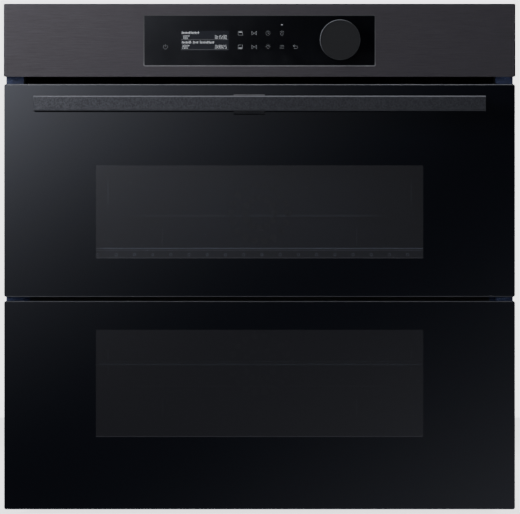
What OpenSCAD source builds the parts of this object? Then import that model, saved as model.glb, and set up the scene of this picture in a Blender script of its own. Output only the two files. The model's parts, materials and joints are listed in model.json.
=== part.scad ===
// Built-in electric wall oven with a door split in two, glass fronted, with a steel control fascia.
// X runs across the front, Y runs from the front to the back and Z runs up.
// The origin is at the middle of the base, half way between the handle and the rear panel.

/* [Front] */
// Width of the steel control fascia
fascia_w = 595; // [590:1:600]
// Height of the steel control fascia
fascia_h = 85; // [80:1:95]
// Width of both door glasses
door_w = 594; // [588:1:598]
// Height of the lower door
lower_h = 242.5; // [235:0.5:255]
// Height of the upper door
upper_h = 247.5; // [240:0.5:260]
// Gap between the two doors
split_gap = 4.5; // [4.5:0.5:7]
// Air slot between the upper door and the fascia
slot_gap = 8.5; // [6:0.5:12]
// Height of the lower door's bottom edge over the base
door_lift = 4; // [4:1:8]
// Thickness of the outer door glass
glass_t = 4; // [3:0.5:4]

/* [Windows] */
// Width of the clear window in both doors
window_w = 380.4; // [340:1:400]
// Height of the upper window
upper_window_h = 108; // [90:1:120]
// Height of the lower window
lower_window_h = 124.4; // [100:1:130]
// Upper window over the upper door's bottom edge
upper_window_up = 45; // [40:1:55]
// Lower window over the lower door's bottom edge
lower_window_up = 84.5; // [75:1:90]

/* [Handle] */
// Length of the handle bar
handle_l = 524; // [500:1:540]
// Height of the handle bar
handle_h = 18; // [16:1:22]
// Depth of the handle bar from front to back
handle_d = 15; // [14:1:18]
// How far the handle bar stands in front of the door glass
handle_out = 45; // [42:1:52]
// Middle of the handle bar over the upper door's bottom edge
handle_up = 224.5; // [216:0.5:226]
// Length of the release lever behind the bar
lever_l = 36; // [30:1:44]

/* [Controls] */
// Width of the display window frame
display_w = 270; // [250:1:290]
// Height of the display window frame
display_h = 60; // [56:1:64]
// Diameter of the control knob
knob_d = 47.2; // [40:0.1:52]
// Knob axis to the right of the middle
knob_x = 93.5; // [85:0.5:100]

/* [Body] */
// Width of the casing that goes into the cabinet
body_w = 556; // [550:1:556]
// Height of the casing over the base
body_h = 574; // [570:1:580]
// Depth of the casing behind the cabinet face
body_d = 546; // [530:1:560]
// Width of the oven cavity
cavity_w = 470; // [460:1:470]
// Height of the oven cavity
cavity_h = 372; // [366:1:374]
// Depth of the oven cavity
cavity_d = 425; // [410:1:430]

/* [Output] */
// Sub-part to draw, or all

/* [Hidden] */
$fn = 48;
// Front to back places are measured from the cabinet face, and shift_y moves them to the origin.
// The door glass stands this far in front of the cabinet.
front_out = 21;
gland_out = 6;
// The base runners start this far behind the cabinet face.
runner_y = 155;
shift_y = -(body_d + gland_out - front_out - handle_out) / 2;
wall = 1;
sheet = 1.2;
low_z = door_lift;
up_z = low_z + lower_h + split_gap;
fascia_z = up_z + upper_h + slot_gap;
// Both door hinges lie this far behind the front face and above the edge of their door.
axis_in = 9;
axis_up = 10;
axis_y = axis_in - front_out;
lower_window_z = low_z + lower_window_up + lower_window_h / 2;
upper_window_z = up_z + upper_window_up + upper_window_h / 2;
glass_back = glass_t - front_out;
rim_back = -3;
door_back = 18;
rim_x = 296;
core_x = 267;
recess_x = 274.5;
recess_y = 22;
column_t = 1.5;
land_x = 279.5;
frame_back = recess_y + 1.5;
bracket_x = 258;
bracket_t = 4;
bracket_r = 4;
pin_r = 2.5;
run_gap = 0.05;
notch_gap = 0.5;
cavity_z = 66;
cavity_top = cavity_z + cavity_h;
cavity_y = recess_y;
cavity_back = cavity_y + cavity_d;
corner_r = 30;
lag = 24;
split_z = up_z + axis_up;
fan_x = 0;
fan_up_z = (split_z + cavity_top) / 2;
fan_low_z = (split_z + cavity_z) / 2;
rack_low = cavity_z + 20;
rack_top = cavity_top - 22;
shelf_z = 172;
tray_z = 283;
// Levels of the rails that the wire shelf and the tray rest on.
guide_levels = [120, shelf_z - 5.8, 206, tray_z - 2.6, 326, 370];
ridge_up = 50.8;
grill_pitch = 40;
floor_pitch = 60;
rail_pitch = 21.2;
handle_z = up_z + handle_up;
bar_front = -front_out - handle_out;
bar_back = bar_front + handle_d;
post_x = 231;
post_w = 48;
lever_x = -12;
lever_axis_y = bar_back + 4;
lever_axis_z = handle_z + handle_h / 2 - 3.5;
display_z = fascia_z + 42;
knob_z = display_z + 0.5;
duct_z = up_z + upper_h + 1;
duct_back = 112;
duct_x = 273;
blower_y = 150;
blower_z = duct_z + 24;
hook_x = 235;
cover_x = 183;

// Moves a piece from the cabinet face to the origin.
module placed() {
    translate([0, shift_y, 0]) children();
}

// A box from its low corner to its high corner.
module span(low, high) {
    translate(low) cube(high - low);
}

// The same piece on the right and on the left.
module both_sides() {
    children();
    mirror([1, 0, 0]) children();
}

// A rounded rectangle around the origin.
module round_rect(w, h, r) {
    square([w - 2 * r, h], center = true);
    square([w, h - 2 * r], center = true);
    for (x = [-1, 1], y = [-1, 1]) translate([x * (w / 2 - r), y * (h / 2 - r)]) circle(r);
}

// A rounded slab facing the front, centred on x and z, from y0 to y1.
module front_slab(w, h, r, x, z, y0, y1) {
    translate([x, y1, z]) rotate([90, 0, 0]) linear_extrude(y1 - y0) round_rect(w, h, r);
}

// A round bar along X from x0 to x1.
module bar_x(r, x0, x1, y, z) {
    translate([x0, y, z]) rotate([0, 90, 0]) cylinder(h = x1 - x0, r = r);
}

// A round bar along Y from y0 to y1.
module bar_y(r, x, y0, y1, z) {
    translate([x, y1, z]) rotate([90, 0, 0]) cylinder(h = y1 - y0, r = r);
}

// A round bar along Z from z0 to z1.
module bar_z(r, x, y, z0, z1) {
    translate([x, y, z0]) cylinder(h = z1 - z0, r = r);
}

module base_pan() {
    color("silver") placed() difference() {
        span([-body_w / 2 + wall, frame_back, 8], [body_w / 2 - wall, body_d - wall, 40]);
        span([-body_w / 2 + 2 * wall, frame_back + wall, 9], [body_w / 2 - 2 * wall, body_d - 2 * wall, 41]);
        for (i = [-5:5]) span([i * 40 - 12, 60, 7], [i * 40 + 12, 66, 10]);
        for (i = [-5:5]) span([i * 40 - 12, 460, 7], [i * 40 + 12, 466, 10]);
    }
}

module base_runners() {
    color("dimgray") placed() both_sides() difference() {
        span([230, runner_y, 0], [260, body_d - 12, 8]);
        span([231.5, runner_y - 1, 1.5], [258.5, body_d - 11, 6.5]);
        for (y = [runner_y + 30:100:body_d - 60]) bar_z(6, 245, y, 6, 9);
    }
}

module side_panel(side) {
    mirror([side, 0, 0]) difference() {
        span([body_w / 2 - wall, recess_y - 18, 8], [body_w / 2, body_d, body_h - wall]);
        for (i = [0:9]) span([body_w / 2 - 2, 90 + i * 14, 530], [body_w / 2 + 1, 95 + i * 14, 560]);
        for (i = [0:9]) span([body_w / 2 - 2, 380 + i * 14, 20], [body_w / 2 + 1, 385 + i * 14, 34]);
    }
}

module side_panel_left() {
    color("silver") placed() side_panel(1);
}

module side_panel_right() {
    color("silver") placed() side_panel(0);
}

module rear_panel() {
    color("silver") placed() difference() {
        span([-body_w / 2 + wall, body_d - wall, 8], [body_w / 2 - wall, body_d, body_h - wall]);
        for (z = [fan_up_z, fan_low_z], a = [0:30:330]) translate([0, 0, z]) rotate([0, a, 0])
            span([34, body_d - 3, -3], [60, body_d + 1, 3]);
        for (i = [0:12]) span([40 + i * 14, body_d - 3, 480], [46 + i * 14, body_d + 1, 500]);
        span([-225, body_d - 3, 522], [-145, body_d + 1, 562]);
    }
}

module top_cover() {
    color("silver") placed() difference() {
        span([-body_w / 2, 4, body_h - wall], [body_w / 2, body_d, body_h]);
        for (x = [-180:30:180], y = [90, 130]) span([x - 10, y, body_h - 2], [x + 10, y + 5, body_h + 1]);
    }
    color("silver") placed() both_sides() span([body_w / 2 - 2 * wall, 8, body_h - 12],
        [body_w / 2 - wall, body_d - wall, body_h - wall]);
}

// Enamelled flange with a recess that takes the inner part of the doors.
module front_frame() {
    color("navy") placed() difference() {
        union() {
            both_sides() span([recess_x, -1.5, 8], [land_x + 0.5, -0.3, body_h - 2]);
            both_sides() span([land_x, -1.5, 8], [295, 0, body_h - 2]);
            both_sides() span([recess_x, -1, 8], [recess_x + column_t, frame_back, body_h - 2]);
            span([-recess_x - 1, recess_y, 8], [recess_x + 1, frame_back, duct_z - 3]);
            span([-recess_x - 1, 13, 8], [recess_x + 1, recess_y + 1, 12]);
            span([-recess_x - 1, -1.5, body_h - 12], [recess_x + 1, 0, body_h - 2]);
        }
        front_slab(cavity_w, cavity_h, corner_r, 0, cavity_z + cavity_h / 2, recess_y - 1, recess_y + 3);
        both_sides() for (z = [70, 480]) bar_y(2.6, 284.5, -3, 1, z);
        both_sides() for (z = [9, 17]) bar_y(1.6, 254, recess_y - 1, recess_y + 3, z + 14);
        span([-recess_x + 20, 12, 7], [recess_x - 20, recess_y, 10.8]);
        both_sides() span([bracket_x - 1, 12, 7], [bracket_x + bracket_t + 1, recess_y, 13]);
    }
}

module liner_shape(grow) {
    round_rect(cavity_w + 2 * grow, cavity_h + 2 * grow, corner_r + grow);
}

module cavity_liner() {
    mid_z = cavity_z + cavity_h / 2;
    color("midnightblue") placed() difference() {
        union() {
            translate([0, cavity_back + wall, mid_z]) rotate([90, 0, 0])
                linear_extrude(cavity_d + wall - 1.5) liner_shape(wall);
            both_sides() for (z = [110, 130, 150, 170, 190, 300, 330, 360, 390])
                span([cavity_w / 2 - 2, cavity_y + 30, z - 1.5], [cavity_w / 2, cavity_back - 50, z + 1.5]);
        }
        difference() {
            translate([0, cavity_back, mid_z]) rotate([90, 0, 0]) linear_extrude(cavity_d) liner_shape(0);
            both_sides() for (z = [split_z - 10, split_z + 2])
                span([cavity_w / 2 - 9, cavity_y + 2, z - 2], [cavity_w / 2 + 1, cavity_back - 45, z]);
        }
        for (z = [fan_up_z, fan_low_z]) bar_y(8, fan_x, cavity_back - 1, cavity_back + 3, z);
        both_sides() bar_y(3.3, grill_pitch * 3.5, cavity_back - 1, cavity_back + 3, cavity_top - 22);
        both_sides() bar_y(3.3, floor_pitch * 2.5, cavity_back - 1, cavity_back + 3, cavity_z + 12);
        for (z = [fan_up_z, fan_low_z], x = [-13, 13]) bar_y(3.3, x, cavity_back - 1, cavity_back + 3, z - 69);
        bar_y(2.1, -200, cavity_back - 1, cavity_back + 3, cavity_top - 50);
        translate([cavity_w / 2 - 1, cavity_back - 80, cavity_top - 50]) rotate([0, 90, 0])
            cylinder(h = 3, r = 26);
    }
}

module insulation_wrap() {
    mid_z = cavity_z + cavity_h / 2;
    color("khaki") placed() difference() {
        translate([0, cavity_back + wall + lag, mid_z]) rotate([90, 0, 0])
            linear_extrude(cavity_d + lag - 20) liner_shape(lag);
        translate([0, cavity_back + wall, mid_z]) rotate([90, 0, 0]) linear_extrude(cavity_d + 5)
            liner_shape(wall);
        for (z = [fan_up_z, fan_low_z]) bar_y(9, fan_x, cavity_back - 1, cavity_back + 60, z);
        both_sides() bar_y(8, grill_pitch * 3.5, cavity_back - 1, cavity_back + 60, cavity_top - 22);
        both_sides() bar_y(8, floor_pitch * 2.5, cavity_back - 1, cavity_back + 60, cavity_z + 12);
        for (z = [fan_up_z, fan_low_z]) span([-24, cavity_back - 1, z - 78], [24, cavity_back + 60, z - 60]);
        bar_y(6, -200, cavity_back - 1, cavity_back + 60, cavity_top - 50);
        bar_x(32, cavity_w / 2 - 1, cavity_w / 2 + 60, cavity_back - 80, cavity_top - 50);
    }
}

module door_gasket() {
    mid_z = cavity_z + cavity_h / 2;
    color("dimgray") placed() translate([0, recess_y, mid_z]) rotate([90, 0, 0]) difference() {
        linear_extrude(recess_y - door_back - 0.5) round_rect(cavity_w + 24, cavity_h + 24, corner_r + 12);
        translate([0, 0, -1]) linear_extrude(recess_y) round_rect(cavity_w + 10, cavity_h + 10, corner_r + 5);
    }
}

module side_racks() {
    x = cavity_w / 2 - 6;
    color("gainsboro") placed() both_sides() {
        for (y = [cavity_y + 25, cavity_y + 190, cavity_back - 60]) {
            bar_z(2.5, x, y, rack_low, split_z - 24);
            bar_z(2.5, x, y, split_z + 14, rack_top);
        }
        for (z = [rack_low, split_z - 24, split_z + 14, rack_top])
            bar_y(2.3, x, cavity_y + 24, cavity_back - 59, z);
        for (z = guide_levels) bar_y(2.5, x - 6, cavity_y + 22, cavity_back - 57, z);
        for (z = guide_levels, y = [cavity_y + 25, cavity_back - 60]) bar_x(2, x - 6, x, y, z);
    }
}

module wire_shelf() {
    w = cavity_w - 24;
    y0 = cavity_y + 32;
    y1 = cavity_back - 64;
    z = shelf_z;
    color("gainsboro") placed() {
        for (y = [y0, y1]) bar_x(2.6, -w / 2 - 1, w / 2 + 1, y, z);
        for (s = [-1, 1]) bar_y(3.2, s * w / 2, y0 - 4, y1 + 4, z);
        for (i = [-10:10]) bar_y(1.4, i * 20, y0 - 1, y1 + 1, z + 2);
        bar_x(2, -w / 2 - 1, w / 2 + 1, (y0 + y1) / 2, z - 0.7);
    }
}

module baking_tray() {
    y0 = cavity_y + 36;
    y1 = cavity_back - 64;
    w = cavity_w - 52;
    z = tray_z;
    color("darkslateblue") placed() {
        difference() {
            translate([0, (y0 + y1) / 2, z - 21]) linear_extrude(22) round_rect(w, y1 - y0, 18);
            translate([0, (y0 + y1) / 2, z - 19.8]) linear_extrude(24) round_rect(w - 3, y1 - y0 - 3, 16.5);
        }
        translate([0, (y0 + y1) / 2, z]) linear_extrude(1.2) difference() {
            round_rect(w + 31, y1 - y0 + 4, 8);
            round_rect(w - 3, y1 - y0 - 3, 16.5);
        }
    }
}

// Plate that parts the cavity, held between two pairs of ledges.
module divider_plate() {
    z0 = split_z - 10;
    y0 = cavity_y + 4;
    color("midnightblue") placed() difference() {
        union() {
            span([-cavity_w / 2 + 2, y0, z0], [cavity_w / 2 - 2, cavity_back - 46, z0 + 2.5]);
            span([-cavity_w / 2 + 12, y0, z0 + 2.5], [cavity_w / 2 - 12, cavity_back - 48, z0 + 8.5]);
        }
        span([-cavity_w / 2 + 13.5, y0 + 1.5, z0 + 1.9], [cavity_w / 2 - 13.5, cavity_back - 49.5, z0 + 7]);
    }
}

// Pressed cover in front of a fan, with an inlet of round holes and slots round its rim.
module fan_cover(z0, z1) {
    z = (z0 + z1) / 2;
    color("midnightblue") placed() difference() {
        union() {
            span([-cover_x, cavity_back - 40, z0], [cover_x, cavity_back - 39, z1]);
            front_slab(234, z1 - z0 - 24, 14, 0, z, cavity_back - 46, cavity_back - 40);
            span([-160, cavity_back - 49, z0 + ridge_up], [160, cavity_back - 39.5, z0 + ridge_up + 2.5]);
            both_sides() span([cover_x - 12, cavity_back - 40, z0], [cover_x, cavity_back, z0 + 12]);
        }
        front_slab(231, z1 - z0 - 27, 12.5, 0, z, cavity_back - 44.5, cavity_back - 38);
        for (a = [0:30:330]) bar_y(4, 18 * cos(a), cavity_back - 50, cavity_back - 38, z + 18 * sin(a));
        for (a = [0:20:340]) bar_y(4, 34 * cos(a), cavity_back - 50, cavity_back - 38, z + 34 * sin(a));
        for (s = [-1, 1], i = [-3:3]) span([s * 150 - 16, cavity_back - 42, z + i * 16 - 3],
            [s * 150 + 16, cavity_back - 38, z + i * 16 + 3]);
    }
}

module fan_cover_upper() {
    fan_cover(split_z + 34, cavity_top - 32);
}

module fan_cover_lower() {
    fan_cover(cavity_z + 24, split_z - 14);
}

module ring_element(z) {
    y = cavity_back - 16;
    color("gray") placed() {
        translate([0, y, z]) rotate([90, 0, 0]) difference() {
            rotate_extrude($fn = 96) translate([70, 0]) circle(r = 3.2, $fn = 24);
            translate([0, -70, 0]) cube([26, 20, 20], center = true);
        }
        for (x = [-13, 13]) bar_y(3.2, x, y - 2, cavity_back + 4, z - 69);
    }
}

module ring_element_upper() {
    ring_element(fan_up_z);
}

module ring_element_lower() {
    ring_element(fan_low_z);
}

// Shaded pole motor behind the insulation, with its bracket.
module fan_motor(z) {
    y = cavity_back + wall + lag;
    color("dimgray") placed() difference() {
        union() {
            span([-45, y, z - 20], [45, y + 1.5, z + 20]);
            span([-22, y + 1.5, z - 24], [22, y + 34, z + 24]);
            bar_y(12, 0, y + 34, y + 44, z);
        }
        bar_y(3.06, 0, y - 1, y + 45, z);
    }
}

module fan_motor_upper() {
    fan_motor(fan_up_z);
}

module fan_motor_lower() {
    fan_motor(fan_low_z);
}

// Radial fan wheel on the motor shaft.
module fan_wheel(z) {
    y = cavity_back - 8;
    color("silver") placed() translate([0, 0, z]) {
        bar_y(3, 0, y - 18, cavity_back + wall + lag + 40, 0);
        bar_y(52, 0, y - 1.2, y, 0);
        bar_y(9, 0, y - 14, y - 1, 0);
        for (a = [0:36:324]) rotate([0, a, 0]) span([22, y - 19, -0.6], [52, y - 1, 0.6]);
    }
}

module fan_wheel_upper() {
    fan_wheel(fan_up_z);
}

module fan_wheel_lower() {
    fan_wheel(fan_low_z);
}

// Bent tube heater at one level, whose two end runs go out through the rear wall of the cavity.
module hairpins(z, runs, pitch, y0, y1) {
    first = -(runs - 1) * pitch / 2;
    for (i = [0:runs - 1]) bar_y(3.2, first + i * pitch, y0, i % (runs - 1) == 0 ? cavity_back + 4 : y1, z);
    for (i = [0:runs - 2]) {
        y = i % 2 == 0 ? y0 : y1;
        translate([first + (i + 0.5) * pitch, y, z]) rotate([0, 0, i % 2 == 0 ? 180 : 0])
            rotate_extrude(angle = 180) translate([pitch / 2, 0]) circle(r = 3.2, $fn = 24);
    }
}

module grill_element() {
    z = cavity_top - 22;
    color("gray") placed() {
        hairpins(z, 8, grill_pitch, cavity_y + 60, cavity_back - 60);
    }
}

module floor_element() {
    z = cavity_z + 12;
    color("gray") placed() {
        hairpins(z, 6, floor_pitch, cavity_y + 60, cavity_back - 60);
    }
}

// Lamp socket in the right wall, with the bulb behind the lens.
module lamp_holder() {
    x = cavity_w / 2 + wall;
    y = cavity_back - 80;
    z = cavity_top - 50;
    color("linen") placed() difference() {
        union() {
            bar_x(30, x, x + 1.5, y, z);
            bar_x(26, x, x + 30, y, z);
        }
        bar_x(24.5, x - 1, x + 28, y, z);
    }
    color("white") placed() bar_x(9, x + 6, x + 28, y, z);
}

module lamp_lens() {
    x = cavity_w / 2 + wall;
    color("lightcyan") placed() difference() {
        bar_x(24.3, x - 3, x + 3, cavity_back - 80, cavity_top - 50);
        bar_x(21.5, x - 1, x + 4, cavity_back - 80, cavity_top - 50);
    }
}

module temperature_probe() {
    z = cavity_top - 50;
    color("silver") placed() {
        bar_y(2, -200, cavity_back - 32, cavity_back + 40, z);
        bar_y(5, -200, cavity_back + wall, cavity_back + wall + 2, z);
    }
}

// Flat duct that leads the cooling air forward to the slot over the doors.
module air_duct() {
    color("black") placed() difference() {
        span([-duct_x, recess_y - 8, duct_z - 2], [duct_x, duct_back, duct_z + 11]);
        span([-duct_x + sheet, recess_y - 9, duct_z - 2 + sheet],
            [duct_x - sheet, duct_back + 1, duct_z + 11 - sheet]);
    }
}

module blower_casing() {
    color("silver") placed() difference() {
        union() {
            span([-150, duct_back, duct_z - 2], [150, blower_y, duct_z + 11]);
            span([-duct_x, duct_back, duct_z - 2], [duct_x, duct_back + sheet, duct_z + 11]);
            bar_x(36, -150, 150, blower_y, blower_z + 12);
            span([-duct_x, duct_back, duct_z - 3], [duct_x, blower_y + 60, duct_z - 2]);
        }
        span([-148.8, duct_back - 1, duct_z - 0.8], [148.8, blower_y + 1, duct_z + 9.8]);
        bar_x(34.8, -148.8, 148.8, blower_y, blower_z + 12);
        bar_x(4.5, -160, 160, blower_y, blower_z + 12);
        span([-148.8, blower_y + 2, blower_z + 20], [148.8, blower_y + 40, blower_z + 50]);
    }
}

module blower_drum() {
    color("gray") placed() translate([0, blower_y, blower_z + 12]) {
        bar_x(3, -152, 178, 0, 0);
        for (x = [-140, -70, 0, 70, 139]) bar_x(29, x, x + 1, 0, 0);
        for (a = [0:18:342]) rotate([a, 0, 0]) span([-140, 23, -0.5], [140, 29, 0.5]);
    }
}

module blower_motor() {
    color("dimgray") placed() difference() {
        union() {
            span([154, blower_y - 24, blower_z - 12], [178, blower_y + 24, blower_z + 38]);
            span([153, blower_y - 20, duct_z - 2], [155, blower_y + 30, blower_z - 10]);
        }
        bar_x(3.06, 150, 180, blower_y, blower_z + 12);
    }
}

// Steel fascia as a shallow tray, open at the back, with the display opening.
module fascia() {
    z = fascia_z + fascia_h / 2;
    color("dimgray") placed() difference() {
        front_slab(fascia_w, fascia_h, 1.5, 0, z, -front_out, -2);
        front_slab(fascia_w - 2.4, fascia_h - 2.4, 0.8, 0, z, -front_out + 1.2, 0);
        front_slab(display_w - 1.6, display_h - 1.6, 1.4, 0, display_z, -front_out - 1, -front_out + 2);
    }
}

module fascia_carrier() {
    z = fascia_z + fascia_h / 2;
    color("black") placed() difference() {
        union() {
            span([-290, -front_out + 1.2, fascia_z + 3], [290, -front_out + 3.2, fascia_z + fascia_h - 3]);
            both_sides() span([230, -front_out + 3.2, fascia_z + 10], [233, -1.5, fascia_z + 55]);
            both_sides() span([140, -front_out + 3.2, fascia_z + 10], [143, -1.5, fascia_z + 55]);
            span([-280, -front_out + 3.2, z - 30], [280, -6, z - 28]);
        }
        front_slab(display_w - 1.6, display_h - 1.6, 1.4, 0, display_z, -front_out, -front_out + 12);
    }
}

module display_trim() {
    color("lightgray") placed() difference() {
        front_slab(display_w, display_h, 2, 0, display_z, -front_out - 0.5, -front_out);
        front_slab(display_w - 2.4, display_h - 2.4, 1, 0, display_z, -front_out - 1, -front_out + 1);
    }
}

module display_glass() {
    color("black") placed() difference() {
        front_slab(display_w - 2.4, display_h - 2.4, 1, 0, display_z, -front_out - 0.3, -front_out + 2.4);
        bar_y(6.5, knob_x, -front_out - 1, -front_out + 4, knob_z);
    }
}

module display_board() {
    y = -front_out + 2.4;
    color("darkgreen") placed() difference() {
        union() {
            span([-120, y + 2.6, display_z - 26], [62, y + 4.2, display_z + 24]);
            span([-96, y, display_z - 15], [-30, y + 2.6, display_z + 16]);
            for (x = [-112, 54]) span([x, y + 4.2, display_z - 20], [x + 6, y + 10, display_z - 6]);
        }
        for (x = [-116, 58]) bar_y(1.6, x, y, y + 8, display_z + 20);
    }
}

module encoder_body() {
    y = -front_out + 3;
    color("dimgray") placed() difference() {
        union() {
            span([knob_x - 14, y, knob_z - 14], [knob_x + 14, y + 12, knob_z + 14]);
            bar_y(6, knob_x, y - 2, y, knob_z);
        }
        bar_y(4.55, knob_x, y - 3, y + 10, knob_z);
    }
}

// Sleeve that slides in when the dial is pressed, and in which the dial's stem turns.
module encoder_plunger() {
    y = -front_out + 3;
    color("silver") placed() difference() {
        bar_y(4.5, knob_x, y - 5, y + 7, knob_z);
        bar_y(3.05, knob_x, y - 6, y + 6, knob_z);
    }
}

module dial_knob() {
    y = -front_out - 2.6;
    r = knob_d / 2;
    color("black") placed() {
        translate([knob_x, y, knob_z]) rotate([90, 0, 0]) rotate_extrude($fn = 128) difference() {
            polygon([[0, 4], [0, 17.2], [r - 1.4, 17.2], [r - 1.4, 18], [r - 0.5, 18], [r, 17.3], [r, 0.6],
                [r - 0.6, 0], [4.6, 0], [4.6, 4]]);
            translate([9, -1]) square([r - 11, 14]);
        }
        bar_y(3, knob_x, y - 5, -front_out + 8, knob_z);
    }
}

module power_board() {
    z = cavity_top + lag + 8;
    color("darkgreen") placed() {
        span([-220, 260, z], [-60, 440, z + 1.6]);
        for (x = [-200:30:-80]) span([x, 280, z + 1.6], [x + 18, 302, z + 20]);
        span([-200, 330, z + 1.6], [-150, 370, z + 34]);
        for (y = [330, 370, 410]) bar_z(8, -110, y, z + 1.6, z + 26);
        for (x = [-212, -68], y = [268, 432]) bar_z(3, x, y, cavity_top + lag, z);
    }
}

module terminal_box() {
    color("whitesmoke") placed() difference() {
        span([-220, body_d - 40, 524], [-150, body_d - wall, 560]);
        span([-218, body_d - 38, 526], [-152, body_d - 3, 561]);
        bar_y(8, -185, body_d - 4, body_d + 1, 542);
    }
    color("whitesmoke") placed() span([-212, body_d - 36, 526], [-158, body_d - 14, 538]);
}

module cable_gland() {
    color("black") placed() difference() {
        union() {
            bar_y(7.9, -185, body_d - 5, body_d + 3, 542);
            bar_y(11, -185, body_d - 1, body_d + 6, 542);
            bar_y(11, -185, body_d - 7, body_d - 3, 542);
        }
        bar_y(5, -185, body_d - 8, body_d + 7, 542);
    }
}

// Hinge eyes on the body, which carry the lower door.
module body_hinges() {
    z = low_z + axis_up;
    color("gray") placed() both_sides() difference() {
        union() {
            span([bracket_x, axis_y, z - bracket_r], [bracket_x + bracket_t, recess_y, z + bracket_r]);
            bar_x(bracket_r, bracket_x, bracket_x + bracket_t, axis_y, z);
            span([bracket_x, recess_y - 2, z - bracket_r], [bracket_x + bracket_t, recess_y, z + 20]);
            span([bracket_x - 10, recess_y - 1.5, z + 4], [bracket_x + 4, recess_y, z + 20]);
        }
        bar_x(pin_r + run_gap, bracket_x - 1, bracket_x + bracket_t + 1, axis_y, z);
    }
}

// Pan-head screws that hold the casing together.
module case_screws() {
    color("silver") placed() {
        for (x = [-250, -100, 100, 250], z = [16, 470]) bar_y(3.6, x, body_d, body_d + 1.8, z);
        for (s = [-1, 1], y = [60, 280, 500], z = [24, 566]) translate([s * body_w / 2, y, z])
            rotate([0, s * 90, 0]) cylinder(h = 1.8, r = 3.6);
    }
}

// Outer glass of a door, from z0 up.
module outer_glass(z0, h) {
    color("black") placed() difference() {
        front_slab(door_w, h, 2.5, 0, z0 + h / 2, -front_out, glass_back);
        children();
    }
}

// Sheet shell of a door behind the glass, with a round lower edge about the hinge axis.
module door_shell(z0, h, top, wz, wh) {
    za = z0 + axis_up;
    ho = z0 + h - 1;
    difference() {
        union() {
            span([-rim_x, glass_back, za], [rim_x, rim_back, ho]);
            span([-rim_x, glass_back, z0 + 0.5], [rim_x, axis_y, za]);
            bar_x(axis_in, -rim_x, rim_x, axis_y, za);
            span([-core_x, rim_back, za], [core_x, door_back, top]);
        }
        span([-rim_x - 1, -front_out - 5, z0 - 2], [rim_x + 1, glass_back, ho]);
        span([-rim_x + sheet, glass_back - 1, za + sheet], [rim_x - sheet, rim_back - sheet, ho - sheet]);
        span([-core_x + sheet, rim_back - 2, za + sheet], [core_x - sheet, door_back - sheet, top - sheet]);
        span([-rim_x + 20, glass_back - 1, za - 6.5], [rim_x - 20, axis_y - 1.2, za + 2]);
        front_slab(window_w + 90, wh, 6, 0, wz, door_back - 3, door_back + 1);
        both_sides() span([bracket_x - notch_gap, -front_out - 1, z0 - 1],
            [bracket_x + bracket_t + notch_gap, door_back + 1, za + bracket_r + 1]);
        both_sides() span([bracket_x - 8.1, glass_back - 1, z0 - 1],
            [bracket_x + 12.1, door_back - sheet, za + 16.1]);
    }
}

// Cast block with the hinge pin, which fills a lower corner of a door.
module hinge_block(z0) {
    za = z0 + axis_up;
    color("gray") placed() both_sides() {
        difference() {
            union() {
                span([bracket_x - 8, axis_y, za], [core_x - sheet, door_back - sheet - 0.1, za + 16]);
                span([bracket_x - 8, axis_y - 4.8, za - 6], [bracket_x + 12, axis_y, za + 16]);
                bar_x(7, bracket_x - 8, bracket_x + 12, axis_y, za);
            }
            span([bracket_x - notch_gap, -front_out - 1, z0 - 1],
                [bracket_x + bracket_t + notch_gap, door_back + 1, za + bracket_r + 1]);
            span([bracket_x - 9, -front_out - 1, z0 - 1], [bracket_x + 13, glass_back, za + 17]);
        }
        bar_x(pin_r, bracket_x - 8, bracket_x + 12, axis_y, za);
    }
}

module lower_glass() {
    outer_glass(low_z, lower_h);
}

module lower_chassis() {
    z1 = low_z + lower_h;
    color("black") placed() difference() {
        union() {
            door_shell(low_z, lower_h, z1 - 0.5, lower_window_z, lower_window_h + 26);
            // Rib that closes the split between the doors, behind the sweep of the upper door.
            span([-core_x, 3, z1 - 4], [core_x, door_back, split_z - bracket_r]);
        }
        both_sides() span([hook_x - 8, 4, z1 - 2], [hook_x + 8, door_back - 1.2, split_z]);
        span([-222, 4.2, z1 - 5], [222, door_back - 1.2, split_z - bracket_r - sheet]);
    }
}

module lower_inner_glass() {
    color("lightgray") placed() front_slab(window_w + 100, lower_window_h + 40, 4, 0, lower_window_z,
        door_back - 5.2, door_back - sheet);
}

module lower_hinge_blocks() {
    hinge_block(low_z);
}

// Hinge eyes on the lower door's rib, which carry the upper door.
module split_brackets() {
    color("gray") placed() both_sides() difference() {
        union() {
            span([bracket_x, axis_y, split_z - bracket_r], [bracket_x + bracket_t, 12, split_z + bracket_r]);
            bar_x(bracket_r, bracket_x, bracket_x + bracket_t, axis_y, split_z);
        }
        bar_x(pin_r + run_gap, bracket_x - 1, bracket_x + bracket_t + 1, axis_y, split_z);
    }
}

module split_seal() {
    color("dimgray") placed() span([-222, 6, split_z - bracket_r], [222, 15, split_z - 0.6]);
}

module upper_glass() {
    outer_glass(up_z, upper_h) both_sides() for (x = [-15, 15])
        bar_y(3, post_x + x, -front_out - 1, glass_back + 1, handle_z);
}

module upper_chassis() {
    top = cavity_top + 24;
    color("black") placed() difference() {
        door_shell(up_z, upper_h, top, upper_window_z, upper_window_h + 32);
        both_sides() span([hook_x - 3, 4, split_z - 1], [hook_x + 3, 14, split_z + 2]);
        for (i = [-9:9]) span([i * 28 - 10, -13, up_z + upper_h - 4], [i * 28 + 10, -8, up_z + upper_h + 1]);
    }
}

module upper_inner_glass() {
    color("lightgray") placed() front_slab(window_w + 100, upper_window_h + 46, 4, 0, upper_window_z,
        door_back - 5.2, door_back - sheet);
}

module upper_hinge_blocks() {
    hinge_block(up_z);
}

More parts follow.
